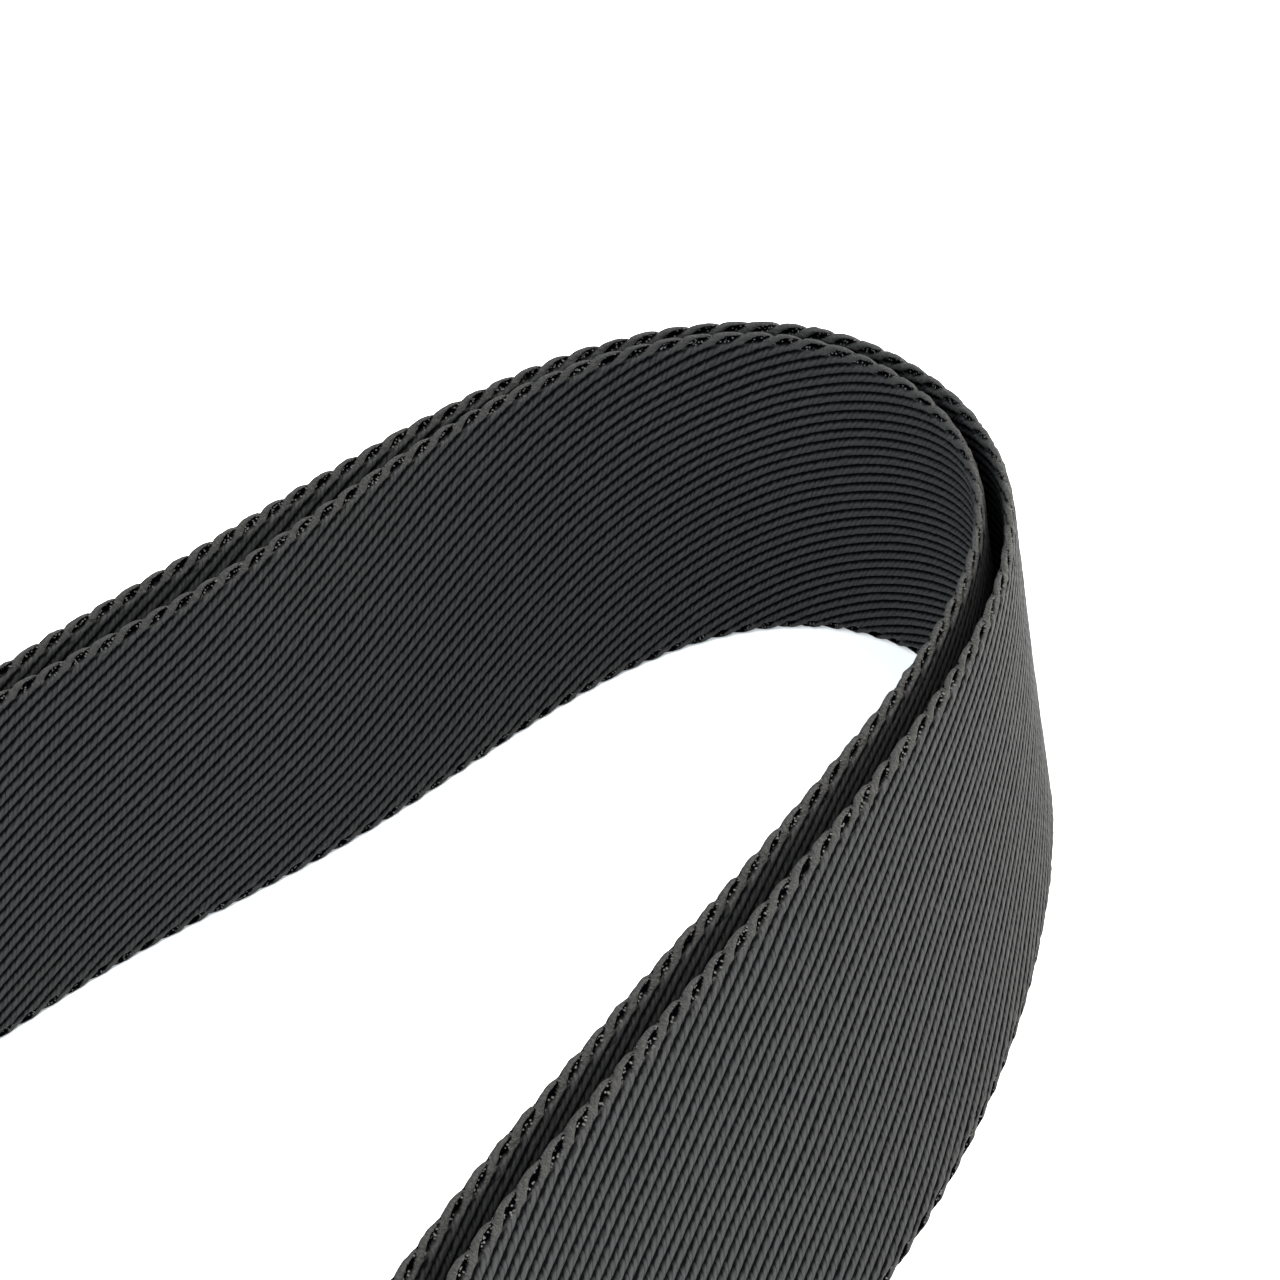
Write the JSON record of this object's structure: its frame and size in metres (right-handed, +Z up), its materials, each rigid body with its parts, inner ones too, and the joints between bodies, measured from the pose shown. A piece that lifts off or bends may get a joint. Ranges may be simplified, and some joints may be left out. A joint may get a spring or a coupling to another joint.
{
  "type": "guitar strap",
  "caption": "Adjustable guitar strap of twill webbing folded in a U, with a three-bar slider, a rectangular loop and keyhole leather ends.",
  "frame": {"origin": "middle of the base of the strap's box, on the surface that the webbing's edge stands on", "axes": "+Z up, across the webbing's width; +X from the front leather end along the slider's arm towards the fold; +Y from that arm towards the loop's arm"},
  "size_m": [0.5044, 0.2668, 0.06],
  "materials": {
    "webbing": "heavy black twill webbing, matte with a slight sheen on the ribs",
    "leather": "smooth black leather, semi-matte",
    "backing": "black suede backing, matte",
    "metal": "black painted steel, satin",
    "thread": "black bonded thread"
  },
  "bodies": {
    "webbing": {"main_webbing": "webbing", "front_leather_outer": "leather", "front_leather_backing": "backing", "front_border_needle_thread": "thread", "front_anchor_needle_thread": "thread", "front_border_bobbin_thread": "thread", "front_anchor_bobbin_thread": "thread"},
    "sewn_fold": {"fold_needle_thread": "thread", "fold_bobbin_thread": "thread"},
    "slider": {"slider_frame": "metal"},
    "loop": {"rectangular_loop": "metal"},
    "rear_end": {"tab_webbing": "webbing", "rear_leather_outer": "leather", "rear_leather_backing": "backing", "rear_border_needle_thread": "thread", "rear_anchor_needle_thread": "thread", "rear_border_bobbin_thread": "thread", "rear_anchor_bobbin_thread": "thread"}
  },
  "joints": [
    {"name": "slider_slide", "type": "slide", "parent": "webbing", "child": "sewn_fold", "axis": [-1, 0, 0], "range_m": [-0.025, 0.015], "deforming": ["main_webbing"]},
    {"name": "slider_tilt", "type": "hinge", "parent": "sewn_fold", "child": "slider", "pos_m": [-0.07424, -0.12698, 0.03], "axis": [0, 0, 1], "range_deg": [-6, 6], "deforming": ["main_webbing"]},
    {"name": "loop_swing", "type": "hinge", "parent": "webbing", "child": "loop", "pos_m": [0.00058, 0.05884, 0.03], "axis": [0, 0, 1], "range_deg": [-45, 45]},
    {"name": "rear_end_swing", "type": "hinge", "parent": "loop", "child": "rear_end", "pos_m": [-0.01546, 0.06701, 0.03], "axis": [0, 0, 1], "range_deg": [-60, 60]}
  ]
}
